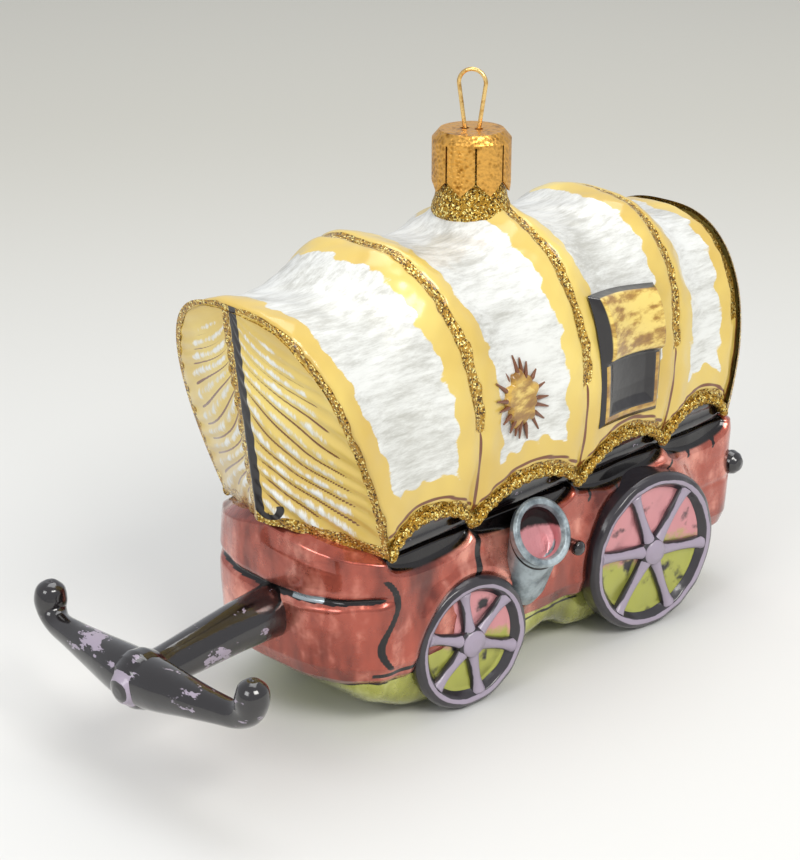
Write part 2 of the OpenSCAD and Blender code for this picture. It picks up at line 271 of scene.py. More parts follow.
def brass_finish(name, pale, deep, roughness, grain=0.0):
    f = Finish(name, Metallic=1.0)
    worn = f.noise(420, 4, 0.6)
    fine = f.noise(2600, 2, 0.6)
    stamp = f.grains(1400, "Distance")
    colour = f.mix((worn + stamp * 0.4).ramp(0.35, 0.75), deep, pale)
    return f.put(Base_Color=colour, Roughness=roughness + fine * 0.16,
                 Normal=f.bump(worn * 0.5 + fine * 0.12 + stamp * grain, 0.4, 0.0005))


# ---------------------------------------------------------------- surfaces
def soft_step(x, edge, soft=0.25):
    """1 where x is below edge, 0 above, smooth over soft."""
    v = np.clip((edge + soft - x) / (2 * soft), 0, 1)
    return v * v * (3 - 2 * v)


def wobble(p, size, phase=0.0):
    """Slow lumps between -1 and 1, in millimetres of size."""
    k = 2 * math.pi / size
    x, y, z = p[..., 0] * k, p[..., 1] * k, p[..., 2] * k
    return (np.sin(x * 1.1 + 0.7 * y + phase) * np.cos(z * 0.9 - 0.4 * x + 1.3 * phase)
            + 0.6 * np.sin(1.9 * y - 1.3 * z + 2.1 * phase) * np.cos(1.6 * x + phase)) / 1.6


def outward(p):
    """Unit normals of a grid of points, by the order of its rows and columns."""
    du = np.gradient(p, axis=0)
    dv = np.gradient(p, axis=1)
    n = np.cross(du, dv)
    return n / np.maximum(np.linalg.norm(n, axis=-1, keepdims=True), 1e-9)


def sheet_mesh(name, grid, finish, body, nodes=(), masks=None, round_v=False, flip=False):
    """A smooth mesh over a grid of points in millimetres, with its painted masks."""
    rows, cols = grid.shape[:2]
    index = np.arange(rows * cols).reshape(rows, cols)
    if round_v:
        index = np.hstack([index, index[:, :1]])
    a, b, c, d = index[:-1, :-1], index[1:, :-1], index[1:, 1:], index[:-1, 1:]
    order = (a, d, c, b) if flip else (a, b, c, d)
    faces = np.stack(order, axis=-1).reshape(-1, 4)
    laid = {k: np.broadcast_to(v, (rows, cols)).reshape(-1) for k, v in (masks or {}).items()}
    return joined_mesh(name, [(grid.reshape(-1, 3), faces, laid)], finish, body, nodes)


def joined_mesh(name, shells, finish, body, nodes=()):
    """One piece from several shells of (points in mm, quads or triangles, masks)."""
    points, faces, masks, start = [], [], {}, 0
    names = sorted({k for s in shells for k in s[2]})
    for p, q, m in shells:
        points.append(p)
        faces += (np.asarray(q) + start).tolist()
        for k in names:
            masks.setdefault(k, []).append(np.broadcast_to(m.get(k, 0.0), len(p)))
        start += len(p)
    mesh = bpy.data.meshes.new(name)
    mesh.from_pydata((np.vstack(points) * MM).tolist(), [], faces)
    mesh.polygons.foreach_set("use_smooth", [True] * len(mesh.polygons))
    for k in names:
        layer = mesh.attributes.new(k, "FLOAT", "POINT")
        layer.data.foreach_set("value", np.concatenate(masks[k]).astype(np.float32))
    mesh.materials.append(finish.data)
    mesh.validate()
    piece = bpy.data.objects.new(name, mesh)
    bpy.context.scene.collection.objects.link(piece)
    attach(piece, body)
    if nodes:
        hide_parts(*nodes)
    return piece


def turned_shell(outline, steps, centre, axis, start, bend=None, masks=None):
    """A shell of revolution: outline is (distance along axis, radius) pairs."""
    axis = np.array(axis, float) / np.linalg.norm(axis)
    u = np.array(start, float)
    u -= axis * (u @ axis)
    u /= np.linalg.norm(u)
    v = np.cross(axis, u)
    a = np.linspace(0, 2 * math.pi, steps, endpoint=False)
    line = np.array(outline, float)
    ring = np.cos(a)[None, :, None] * u + np.sin(a)[None, :, None] * v
    p = np.array(centre, float) + line[:, None, :1] * axis + line[:, None, 1:] * ring
    if bend is not None:
        p = bend(p)
    rows = len(line)
    i = np.arange(rows * steps).reshape(rows, steps)
    i = np.hstack([i, i[:, :1]])
    faces = np.stack((i[:-1, :-1], i[:-1, 1:], i[1:, 1:], i[1:, :-1]), axis=-1).reshape(-1, 4)
    grids = {k: m(p).reshape(-1) for k, m in (masks or {}).items()}
    return p.reshape(-1, 3), faces, grids


def refined(outline, count):
    """The same outline with count points spread evenly over its corners."""
    corners, spread = np.linspace(0, 1, len(outline)), np.linspace(0, 1, count)
    return np.stack([np.interp(spread, corners, column) for column in np.array(outline, float).T], -1)


def smooth_line(points, steps):
    """A smooth path through (position..., radius) rows."""
    p = np.array(points, float)
    p = np.vstack([2 * p[0] - p[1], p, 2 * p[-1] - p[-2]])
    out = []
    for i in range(1, len(p) - 2):
        for t in np.linspace(0, 1, steps, endpoint=False):
            out.append(0.5 * (2 * p[i] + (p[i + 1] - p[i - 1]) * t
                              + (2 * p[i - 1] - 5 * p[i] + 4 * p[i + 1] - p[i + 2]) * t * t
                              + (3 * p[i] - p[i - 1] - 3 * p[i + 1] + p[i + 2]) * t ** 3))
    out.append(p[-2])
    return np.array(out)


def tube_shell(path, sides=40, masks=None, flat=1.0, up=(0, 0, 1)):
    """A round tube along rows of (x, y, z, radius), closed at both ends."""
    c, r = path[:, :3], path[:, 3]
    d = np.gradient(c, axis=0)
    d /= np.linalg.norm(d, axis=1, keepdims=True)
    u = np.cross(d, np.array(up, float))
    u /= np.maximum(np.linalg.norm(u, axis=1, keepdims=True), 1e-9)
    v = np.cross(u, d)
    a = np.linspace(0, 2 * math.pi, sides, endpoint=False)
    p = (c[:, None] + r[:, None, None] * (np.cos(a)[None, :, None] * u[:, None]
                                          + flat * np.sin(a)[None, :, None] * v[:, None]))
    p = np.concatenate([np.repeat(c[:1, None], sides, 1), p, np.repeat(c[-1:, None], sides, 1)])
    rows = len(p)
    i = np.arange(rows * sides).reshape(rows, sides)
    i = np.hstack([i, i[:, :1]])
    faces = np.stack((i[:-1, :-1], i[:-1, 1:], i[1:, 1:], i[1:, :-1]), axis=-1).reshape(-1, 4)
    return p.reshape(-1, 3), faces, {k: m(p).reshape(-1) for k, m in (masks or {}).items()}


def mirrored(shell):
    p, faces, masks = shell
    return p * (1, -1, 1), faces[:, ::-1], masks


# ---------------------------------------------------------------- the wagon's lines
SILL, RISE = 32.0, 46.3
# Foot x, apex x, rise, half width, roundness, half width at the foot, bow in side view
HOOPS = np.array([
    [28.0, 42.9, 0.888, 21.0, 2.9, 19.3, 0.0],
    [9.0, 15.5, 1.009, 22.4, 2.7, 19.7, -3.2],
    [-16.6, -13.3, 1.0, 22.8, 2.8, 20.8, -2.6],
    [-41.0, -42.2, 0.955, 21.4, 2.9, 19.8, -2.6],
    [-60.3, -64.4, 0.79, 20.6, 2.7, 19.4, -1.2]])
SAG, SCALLOP = 0.078, 4.6  # share of the arch, millimetres
NECK_X = -11.2
# Middle of each left wheel's face; a wheel's radius is its middle's height
FRONT_WHEEL, REAR_WHEEL = (10.3, 19.8, 11.8), (-33.8, 23.0, 14.8)


def along(t, column):
    i = np.minimum(np.floor(t).astype(int), 3)
    f = t - i
    return HOOPS[i, column] * (1 - f) + HOOPS[i + 1, column] * f


def cloth_dip(t):
    """How much smaller the arch is between two hoops than at a hoop."""
    f = t - np.floor(t)
    return 1 - SAG * (0.6 * np.sin(math.pi * f) + 0.4 * np.sin(math.pi * f) ** 2)


def scallop_foot(t):
    """The angle at which the arch meets the scalloped edge."""
    low = (scallop_height(t) / (RISE * along(t, 2))) ** (along(t, 4) / 2)
    return np.arcsin(np.clip(low, 0, 1))


def arch(t, a):
    """Points of the canopy: t counts hoops from the front, a is the angle from the left foot."""
    t, a = np.broadcast_arrays(np.asarray(t, float), np.asarray(a, float))
    n = 2 / along(t, 4)
    h = np.abs(np.sin(a)) ** n
    s = 1 + (cloth_dip(t) - 1) * np.minimum(1, 3 * h)
    tuck = 1 - (1 - along(t, 5) / along(t, 3)) * (1 - h) ** 3
    x = along(t, 0) * (1 - h) + along(t, 1) * h + along(t, 6) * np.sin(math.pi * h)
    y = np.sign(np.cos(a)) * along(t, 3) * np.abs(np.cos(a)) ** n * tuck * s
    return np.stack([x, y, SILL + RISE * along(t, 2) * h * s], axis=-1)


def scallop_height(t):
    f = t - np.floor(t)
    return SCALLOP * np.clip(1 - (2.1 * f - 1.05) ** 2, 0, 1) ** 0.75 + 0.05


def canopy():
    rows, cols = 370, 244
    t = np.linspace(0, 4, rows)[:, None]
    foot = scallop_foot(t)
    v = np.linspace(0, 1, cols)[None, :]
    spread = v - 0.06 * np.sin(2 * math.pi * v)
    a = foot + (math.pi - 2 * foot) * spread
    p = arch(t, a)
    near = np.round(t)
    gap = np.abs(p[..., 0] - arch(np.clip(near, 0, 4), a)[..., 0])
    lift = p[..., 2] - SILL - scallop_height(t)
    height = p[..., 2] + 2.5 * wobble(p, 33, 1.0)
    ragged = 0.35 * wobble(p, 7, 2.0)
    first = (near == 0) & (t < 0.5)
    upper = np.where(first, 1, soft_step(-height, -50, 1.5))
    hoop_glitter = soft_step(gap + ragged, 1.25 + 0.8 * (near == 4)) * upper
    edge_glitter = soft_step(lift + ragged, 2.3)
    glitter = np.maximum(hoop_glitter, edge_glitter)
    line = np.maximum(soft_step(np.abs(lift - 3.0), 0.3, 0.2),
                      soft_step(gap, 0.4, 0.2) * soft_step(height, 52, 2))
    gold_band = np.maximum(soft_step(gap + 3 * ragged, 5.0, 1.1), soft_step(lift + 3 * ragged, 6.4, 1.2))
    n = -outward(p)
    ridge = np.exp(-(gap / 1.6) ** 2)
    swell = 0.35 * wobble(p, 26, 0.3) + 0.14 * wobble(p, 8, 3.3) + 0.8 * ridge + 0.35 * glitter
    p = p + n * swell[..., None]
    neck_gap = np.hypot(p[..., 0] - NECK_X, p[..., 1])
    p[..., 2] += 1.5 * np.exp(-(np.maximum(neck_gap - 5.2, 0) / 2.2) ** 2) * (p[..., 2] > 70)
    masks = {"glitter": glitter, "line": line * (1 - glitter), "pearl": 0.9 - 0.85 * gold_band,
             "low": soft_step(lift, 16, 12)}
    return sheet_mesh("canopy_skin", p, cloth_finish("canopy_paint", (0.16, 1, 1)), "glass",
                      ("canopy",), masks, flip=True)


def front_cloth():
    """Two painted flaps that fan out from the split below the first hoop."""
    rows, cols = 200, 220
    e = np.linspace(0.0, 1, rows)[:, None]
    w = np.linspace(-1, 1, cols)[None, :]
    u = 1 - np.abs(w)
    a = e * math.pi / 2
    rim = arch(0.0, np.broadcast_to(a, (rows, cols)).copy())
    top = rim[-1, 0]
    lean = (top[0] - 28) / (top[2] - SILL)
    ridge_z = SILL + 4.2 + (top[2] - 1.5 - SILL - 4.2) * e
    z = rim[..., 2] * (1 - u) + ridge_z * u
    ahead = 8.8 + (0.4 - 8.8) * e
    fan = top[2] - z - 15 * np.abs(w) ** 0.8 + 0.8 * np.sin(z * 0.35) - 3.5 * np.abs(w) * (1 - np.abs(w))
    folds = np.cos(2 * math.pi * fan / 3.5)
    x = 28 + lean * (z - SILL) + ahead * u ** 1.25
    y = np.sign(w) * rim[..., 1] * np.abs(w)
    p = np.stack([x, y, np.broadcast_to(z, x.shape)], axis=-1)
    deep = np.clip((top[2] - z) / 16, 0, 1) * np.clip(np.abs(w) * 7, 0, 1)
    deep = deep * np.clip((1 - np.abs(w)) * 9, 0, 1)
    p[..., 0] += 0.24 * folds * deep + 0.3 * wobble(p, 21, 0.8) * deep
    hem = p[..., 2] - (SILL + 4.2 * u)
    edge = np.hypot(rim[..., 1] - np.abs(y), rim[..., 2] - z)
    ink = soft_step(np.abs(y - 0.5), 0.8, 0.2) * soft_step(-z, -38, 1)
    hook = soft_step(np.abs(np.hypot(y - 2.2, z - 38.9) - 1.7), 0.5, 0.2) * (z < 39.5)
    glitter = np.maximum.reduce([soft_step(np.abs(y + 1.1 + 0.3 * wobble(p, 9)), 0.9, 0.3),
                                 soft_step(hem + 0.3 * wobble(p, 6), 2.3, 0.3), soft_step(edge, 1.0, 0.3)])
    line = soft_step(folds, -0.93, 0.06) * deep * soft_step(-edge, -4.2, 0.8) * soft_step(-hem, -4, 0.6)
    masks = {"glitter": glitter * (1 - np.maximum(ink, hook)), "ink": np.maximum(ink, hook), "line": line,
             "pearl": (0.4 + 0.16 * folds) * soft_step(-edge, -4.0, 1.2), "low": soft_step(hem, 10, 6)}
    return sheet_mesh("front_flaps", p, cloth_finish("curtain_paint", (1, 1, 0.22)), "glass",
                      ("front_curtain",), masks, flip=False)


def rear_cloth():
    """The cloth drawn together over the tail, with folds that run to its middle."""
    rows, cols = 120, 300
    s = np.linspace(1, 0.02, rows)[:, None]
    a = np.linspace(0, math.pi, cols - 60)
    hem = np.linspace(-1, 1, 62)[1:-1, None] * (0, HOOPS[4, 5], 0) + (HOOPS[4, 0], 0, SILL + 0.1)
    rim = np.vstack([arch(np.full(len(a), 4.0), a), hem])[None]
    a = np.linspace(0, 2 * math.pi * 0.7, cols)[None, :]
    b = np.sin(np.arccos(np.clip(s, 0, 1)))
    cz = SILL + 19
    x = rim[..., 0] * (1 - b) - 68.0 * b
    p = np.stack([x, rim[..., 1] * s, cz + (rim[..., 2] - cz) * s], axis=-1)
    folds = np.cos(a * 20 + 0.8 * np.sin(a * 5))
    deep = np.clip((1 - s) * 5, 0, 1) * np.clip(s * 3, 0, 1)
    p[..., 0] += 0.45 * (folds - 1) * -deep
    edge = (1 - s) * 18
    masks = {"glitter": soft_step(edge, 1.4, 0.3) + soft_step(s * 20, 2.2, 0.3),
             "line": soft_step(folds, -0.88, 0.1) * deep,
             "pearl": (0.45 + 0.4 * folds) * soft_step(-edge, -3, 1), "low": 0.0}
    return sheet_mesh("rear_cloth", p, cloth_finish("rear_paint", (1, 0.3, 0.3)), "glass",
                      ("rear_curtain",), masks, round_v=True, flip=True)


def box_outline(count=620, inset=0.0):
    """The wagon box from above: a long trapezium with a bowed front, rounded at its corners."""
    half = np.array([(36.4, 0.0), (36.2, 8.0), (34.0, 14.0), (28.6, 19.3), (9, 19.62), (-16, 20.0),
                     (-41, 20.35), (-60.3, 20.6), (-62.6, 19.0), (-62.9, 0.0)])
    pts = np.vstack([half, half[::-1][1:-1] * (1, -1)])
    pts = np.vstack([pts, pts[:1]])
    d = np.r_[0, np.cumsum(np.hypot(*np.diff(pts, axis=0).T))]
    s = np.linspace(0, d[-1], count, endpoint=False)
    xy = np.stack([np.interp(s, d, pts[:, 0]), np.interp(s, d, pts[:, 1])], axis=-1)
    k = np.ones(9) / 9
    for axis in (0, 1):
        xy[:, axis] = np.convolve(np.r_[xy[-4:, axis], xy[:, axis], xy[:4, axis]], k, "valid")
    t = np.roll(xy, -1, 0) - np.roll(xy, 1, 0)
    n = np.stack([t[:, 1], -t[:, 0]], -1) / np.maximum(np.hypot(*t.T), 1e-9)[:, None]
    return xy - n * inset, n


def wagon_box():
    xy, n = box_outline()
    lip = 31.0 + np.sin(np.linspace(0, math.pi / 2, 10))[1:]
    z = np.concatenate([np.linspace(9.2, 31.0, 130), lip, [32.0]])
    push = np.interp(z, [9.2, 10.5, 13, 20, 29, 31, 32], [-2.4, -1.0, 0, 0.35, 0.2, -0.1, -1.9])
    push[-1] = -8.0
    p = np.empty((len(z), len(xy), 3))
    p[..., :2] = xy[None] + n[None] * push[:, None, None]
    p[..., 2] = z[:, None]
    ahead = np.clip(n[:, 0], 0, 1)[None] ** 0.6
    groove_z = 24.0 + 0.05 * np.abs(p[..., 1])
    groove = np.exp(-((p[..., 2] - groove_z) / 0.8) ** 2) * ahead
    panel = np.exp(-((p[..., 2] - 20.0) / 0.6) ** 2) * (np.abs(n[:, 1])[None] > 0.9) * (p[..., 0] < 4) * 0.4
    rise = np.clip(n[:, 0], 0, 1)[None] ** 0.5 * np.clip(1 - np.abs(p[..., 1]) / 19.5, 0, 1) * 4.6
    bay = np.interp(-p[..., 0], -HOOPS[:, 0], range(5))
    arch_top = np.sin(math.pi * (bay - np.floor(bay))) ** 0.6 * (np.abs(n[:, 1])[None] > 0.85)
    hollow = soft_step(-(p[..., 2] - 31.8 + 3.4 * arch_top ** 0.5), 0.0, 0.8) * (arch_top > 0.02)
    p[..., :2] -= (1.1 * groove + 0.5 * panel + 1.5 * hollow)[..., None] * n[None]
    wheels = sum(np.exp(-((np.hypot(p[..., 0] - x, p[..., 2] - r) - r - 1.0) / 1.6) ** 2) for x, _, r in
                 (FRONT_WHEEL, REAR_WHEEL)) * (np.abs(n[:, 1])[None] > 0.85)
    p[..., :2] += (0.9 * wheels * (1 - hollow))[..., None] * n[None]
    p[..., 2] += rise * np.clip((p[..., 2] - 25) / 7, 0, 1)
    p[..., :2] += (0.28 * wobble(p, 19, 1.4))[..., None] * n[None]
    q = p
    band = soft_step(np.abs(q[..., 0] - 8.0 + 0.12 * (q[..., 2] - 28)), 0.7, 0.3)
    band = band * soft_step(-q[..., 2], -22, 1)
    sway = 27.2 + 0.12 * (q[..., 2] - 14) + 1.9 * np.sin((q[..., 2] - 12) / 2.7)
    curl = soft_step(np.abs(q[..., 0] - sway), 0.6, 0.25)
    curl = curl * (np.abs(n[:, 1])[None] > 0.5) * soft_step(np.abs(q[..., 2] - 20.5), 8, 0.5)
    foot = soft_step(np.abs(q[..., 2] - 11.6 - 0.04 * (27 - q[..., 0])), 0.4, 0.2)
    foot = foot * (q[..., 0] > 22) * (q[..., 0] < 30)
    curl = np.maximum(curl, foot * (np.abs(n[:, 1])[None] > 0.5))
    dashes = soft_step(np.abs(np.mod(q[..., 0] + q[..., 2] * 0.6, 7.0) - 3.5), 0.35, 0.2)
    dashes = dashes * soft_step(np.abs(q[..., 2] - 28.3), 0.9, 0.3) * (q[..., 0] < -18)
    masks = {"line": np.maximum.reduce([(groove > 0.55) * 1.0, band, curl, dashes, hollow]),
             "pearl": soft_step(np.abs(q[..., 2] - groove_z), 0.5, 0.2) * ahead
             * (np.abs(q[..., 1] - 8) < 3)}
    lacquer = lacquer_finish("copper_rose_lacquer", COPPER_DARK, COPPER, COPPER_PALE)
    sheet_mesh("wagon_box_skin", p, lacquer, "glass", ("wagon_box", "tail_board"), masks,
               round_v=True, flip=True)
    knob = [(-2.3, 0.0), (-2.0, 1.2), (-1.2, 2.0), (0, 2.35), (1.2, 2.0), (2.0, 1.2), (2.3, 0.0)]
    ends = [turned_shell(refined(knob, 36), 40, (-61.9, s * 20.2, 22.4), (0, 1, 0), (0, 0, 1), None,
                         {"pearl": lambda v: np.zeros(v.shape[:-1])}) for s, _ in SIDES]
    joined_mesh("tail_knobs", ends, BLACK, "glass", ())
    inner, m = box_outline(420, 2.2)
    zs = np.concatenate([np.linspace(31.6, 38.6, 24)])
    sill = np.empty((len(zs), len(inner), 3))
    sill[..., :2] = inner[None] + m[None] * (0.15 * np.sin(zs * 2.2))[:, None, None]
    sill[..., 2] = zs[:, None]
    sill[..., 0] = np.minimum(sill[..., 0], 28.5)
    sheet_mesh("dark_sill", sill, BLACK, "glass", (), {"pearl": 0.0},
               round_v=True, flip=True)


def underside():
    """The boat-shaped glass under the box, with an arch between its two feet."""
    rows, cols = 260, 120
    x = np.linspace(34.2, -60.5, rows)[:, None]
    keel = [(-60.5, 11.2), (-56, 6.4), (-50, 2.2), (-45.5, 0.5), (-42, 0), (-24, 0), (-20.5, 0.9),
            (-17, 3.1), (-11.5, 5), (-6, 3.1), (-2.5, 0.9), (1, 0), (17.5, 0), (21, 0.9), (27, 3.8),
            (31.5, 7.4), (34.2, 11.2)]
    floor = np.interp(x, *zip(*keel))
    half = np.interp(x, [-60.5, -55, -40, 20, 28, 34.2], [16.5, 18.4, 19.0, 18.6, 17.0, 11.0])
    a = np.linspace(0, math.pi, cols)[None, :]
    y = half * np.sign(np.cos(a)) * np.abs(np.cos(a)) ** 0.42
    z = 11.4 - (11.4 - floor) * np.abs(np.sin(a)) ** 0.5
    p = np.stack([np.broadcast_to(x, y.shape), y, z], axis=-1)
    p[..., 1] += 0.3 * wobble(p, 14, 0.6)
    masks = {"line": soft_step(np.abs(p[..., 2] - 9.6 - 0.5 * wobble(p, 11)), 0.3, 0.2) * 0.8,
             "pearl": 0.0}
    lacquer = lacquer_finish("green_gold_lacquer", GREEN_DARK, GREEN, GREEN_PALE)
    sheet_mesh("underside_skin", p, lacquer, "glass", ("underside",), masks)


def wheel(name, node, centre, side, turn):
    """A wheel in relief: rounded rim, domed dish, six tapering spokes and a hub."""
    r = centre[2]
    toe = math.radians(8)
    axis = np.array([math.sin(toe), math.cos(toe) * side, 0.0])
    up = np.array([0, 0, 1.0])
    flat = np.cross(axis, up)
    c = np.array([centre[0], centre[1] * side, centre[2]])
    upper = lambda p: np.clip(0.5 + (p[..., 2] - c[2]) / (0.9 * r), 0, 1)
    one = lambda p: np.ones(p.shape[:-1])
    far = lambda p: np.linalg.norm(np.cross(p - c, axis), axis=-1)
    rim_ring = lambda p: np.exp(-((far(p) - r + 1.6) / 0.42) ** 2)
    hub_top = lambda p: soft_step(far(p), 2.3, 0.4)
    rim = [(-6.0, r - 0.5), (-0.6, r - 0.25), (0.9, r - 0.05), (1.7, r - 0.5), (2.1, r - 1.3),
           (1.8, r - 2.1), (1.1, r - 2.6), (0.6, r - 3.0)]
    dish = [(0.8, r - 2.4), (0.35, r - 3.4), (0.2, r * 0.5), (0.4, 2.0), (0.5, 0.0)]
    hub = [(0.0, 2.9), (1.3, 2.8), (2.1, 2.2), (2.5, 1.2), (2.55, 0.0)]
    bend = lambda p: p + axis * (0.18 * wobble(p, 9, r))[..., None]
    shells = [turned_shell(refined(rim, 40), 128, c, axis, up, bend, {"raised": rim_ring, "upper": upper}),
              turned_shell(refined(dish, 40), 128, c, axis, up, bend, {"between": one, "upper": upper}),
              turned_shell(refined(hub, 24), 48, c, axis, up, bend, {"raised": hub_top, "upper": upper})]
    for k in range(6):
        b = math.radians(60 * k + turn)
        d = flat * math.cos(b) + up * math.sin(b)
        path = [(*(c + d * s + axis * 0.55), w) for s, w in
                ((1.5, 1.5), (r * 0.3, 1.15), (r * 0.55, 1.0), (r - 3.6, 1.15), (r - 2.2, 1.5))]
        crest = lambda p: np.clip(((p - c) @ axis - 0.95) / 0.6, 0, 1)
        shells.append(tube_shell(smooth_line(path, 8), 20, {"raised": crest, "upper": upper}, 1.0, axis))
    return joined_mesh(name, shells, WHEEL_PAINT, "glass", (node,))


def pole_and_yoke():
    pole = smooth_line([(34.5, 0, 19.6, 4.9), (37.2, 0, 19.6, 4.4), (44, 0, 19.3, 4.0), (52, 0, 18.6, 3.6),
                        (58, 0, 18.1, 3.3), (61, 0, 17.8, 3.5)], 14)
    lilac = lambda p: np.clip(1 - np.abs(p[..., 0] - 48) / 9, 0, 1) * np.clip((20.5 - p[..., 2]) / 2, 0, 1)
    joined_mesh("draw_pole_skin", [tube_shell(pole, 64, {"pearl": lilac})], BLACK, "glass", ("draw_pole",))
    hub = [(-4.9, 0.0), (-4.6, 1.8), (-3.6, 3.4), (-2.0, 4.5), (0, 4.9), (1.6, 4.6), (3.0, 3.7), (3.7, 2.7),
           (4.5, 2.1), (4.9, 1.1), (4.95, 0.0)]
    out = lambda p: np.hypot(p[..., 1], p[..., 2] - 17.1)
    ring = lambda p: np.exp(-((out(p) - 2.5) / 0.55) ** 2) * 4 * (p[..., 0] > 64)
    shells = [turned_shell(refined(hub, 60), 64, (63.1, 0, 17.6), (1, 0, -0.12), (0, 0, 1), None,
                           {"pearl": ring})]
    horn = smooth_line([(63.1, 0, 17.6, 4.3), (63.1, 5, 18.0, 3.9), (63.0, 11, 18.5, 3.1),
                        (62.7, 17, 18.9, 2.4), (62.4, 21.2, 19.3, 2.1), (62.0, 23.4, 20.6, 2.35),
                        (61.8, 24.0, 22.6, 2.7),
                        (61.6, 24.0, 24.6, 2.3), (61.5, 24.0, 25.6, 1.2), (61.5, 24.0, 25.9, 0.2)], 9)
    high = lambda p: np.clip(0.4 + (p[..., 2] - 18.5) / 3, 0, 1)
    tip = lambda p: soft_step(np.abs(np.abs(p[..., 1]) - 12), 5, 3) * high(p)
    shells.append(tube_shell(horn, 44, {"pearl": tip}, 1.0, (1, 0, 0)))
    shells.append(mirrored(shells[-1]))
    joined_mesh("yoke_skin", shells, BLACK, "glass", ("yoke",))


def pail_and_peg(side, word):
    tilt = math.radians(62)
    yaw = math.radians(8)
    axis = np.array([math.sin(yaw) * math.sin(tilt), math.cos(yaw) * math.sin(tilt), math.cos(tilt)])
    mouth = np.array([-3.2, 23.0, 27.8])
    body = [(-8.8, 0.0), (-8.4, 3.2), (-6.5, 4.4), (-3.0, 5.0), (0.0, 5.6), (1.3, 5.95), (1.75, 5.5),
            (1.6, 4.7), (0.6, 4.2), (-1.2, 3.9), (-1.7, 3.0), (-1.8, 0.0)]

    def droop(p):
        d = (p - mouth) @ axis
        back = np.clip(-d / 8.5, 0, 1)
        q = p.copy()
        q[..., 2] -= 7.6 * back ** 1.1
        q[..., 1] += 3.6 * back
        return q

    inside = lambda p: ((np.linalg.norm(np.cross(p - mouth, axis), axis=-1) < 4.3)
                        & (((p - mouth) @ axis) > -2.2)).astype(float)
    pink = lambda p: inside(p) * np.clip(1.15 - (p[..., 2] - 25.5) / 4, 0, 1)
    # painted shadow: the upper part of the inside of the pail's mouth, under its rim, is painted black as
    # shade
    dark = lambda p: inside(p) * np.clip((p[..., 2] - 26.5) / 2, 0, 1)
    # this ink mask holds the painted rim line and also the painted shadow inside the mouth
    hoop = lambda p: dark(p) + soft_step(np.abs((p - mouth) @ axis + 0.6), 0.25, 0.2) * (1 - inside(p))
    shell = turned_shell(refined(body, 88), 96, mouth, axis, (0, 0, 1), droop, {"upper": pink, "line": hoop})
    x = -14.5
    peg = smooth_line([(x, 19.0, 21.4, 1.2), (x, 21.5, 21.4, 1.1), (x, 22.4, 21.3, 1.35),
                       (x, 23.2, 21.2, 1.2), (x, 23.7, 21.2, 0.5)], 6)
    stud = tube_shell(peg, 28, {"pearl": lambda p: np.zeros(p.shape[:-1])})
    if side < 0:
        shell, stud = mirrored(shell), mirrored(stud)
    joined_mesh("water_pail_skin_" + word, [shell], PAIL, "glass", ("water_pail_" + word,))
    joined_mesh("pail_peg_skin_" + word, [stud], BLACK, "glass", ("pail_peg_" + word,))


def on_cloth(side, t, z, lift):
    """Points laid on the canopy's side at hoop number t and height z, lifted off it."""
    rise = RISE * along(t, 2)
    h = np.clip((z - SILL) / rise, 0, 1)
    for _ in range(4):
        h = np.clip((z - SILL) / rise / (1 + (cloth_dip(t) - 1) * np.minimum(1, 3 * h)), 0, 1)
    a = np.arcsin(h ** (along(t, 4) / 2))
    p = arch(t, a)
    n = -outward(p)
    n = n * np.sign(np.mean(n[..., 1]))
    return (p + n * lift[..., None]) * (1, side, 1)


def window_and_patch(side, word):
    """The painted window with its rolled blind, and the stitched patch beside it."""
    u, v = np.meshgrid(np.linspace(0, 1, 90), np.linspace(0, 1, 120), indexing="ij")
    t = 2.12 + 0.68 * u
    z = 41.0 - 1.2 * u + (23.2 - 0.8 * u) * v
    rim = np.minimum(np.minimum(u, 1 - u) * 16, np.minimum(v, 1 - v) * 22)
    blind = soft_step(-v, -0.5, 0.03)
    roll = np.sin(np.clip((v - 0.46) / 0.54, 0, 1) * math.pi) ** 0.5
    lift = 0.2 + np.clip(rim / 1.0, 0, 1) * (0.75 + blind * (0.5 + 1.5 * roll))
    lift = lift - 0.55 * (1 - blind) * np.clip((rim - 2.0) / 1.5, 0, 1)
    p = on_cloth(side, t, z, lift)
    ink = np.maximum(soft_step(rim, 0.8, 0.25), soft_step(np.abs(v - 0.49), 0.022, 0.01))
    ink = np.maximum(ink, (1 - blind) * soft_step(-rim, -1.7, 0.3))
    masks = {"ink": ink, "line": 0.0, "pearl": blind * 0.8}
    sheet_mesh("window_" + word, p, OCHRE_CLOTH, "glass", ("window_blind_" + word,), masks,
               flip=side < 0)
    r, a = np.meshgrid(np.linspace(0, 1, 50), np.linspace(0, 2 * math.pi, 160), indexing="ij")
    edge = 4.1 + 0.35 * np.sin(5 * a) + 0.3 * np.sin(11 * a + 1)
    spot = lambda x, z, lift: on_cloth(side, 1.03 + (9.4 - x) / 25.6, 51.2 + z, lift)
    q = spot(edge * r * np.cos(a), 1.12 * edge * r * np.sin(a), 0.9 * np.clip((1 - r) * 6, 0, 1) ** 0.5)
    masks = {"line": 0.0, "ink": 0.0, "pearl": 0.5 * (r < 0.62)}
    sheet_mesh("ochre_patch_" + word, q, OCHRE_CLOTH, "glass", (), masks, flip=side > 0)
    dashes = []
    for k in range(18):
        b = 2 * math.pi * (k + 0.3 * math.sin(5 * k)) / 18
        s = np.linspace(3.1 + 0.4 * math.sin(3 * k), 6.2 + 0.7 * math.sin(7 * k), 12)
        p = spot(s * math.cos(b), 1.15 * s * math.sin(b), np.full(12, 0.55))
        dashes.append(tube_shell(np.c_[p, np.interp(s, (s[0], s[3], s[-1]), (0.2, 0.42, 0.14))], 12,
                                 {"line": lambda v: np.ones(v.shape[:-1])}, 1.0, (0, 1, 0)))
    joined_mesh("patch_stitches_" + word, dashes, OCHRE_CLOTH, "glass", ())


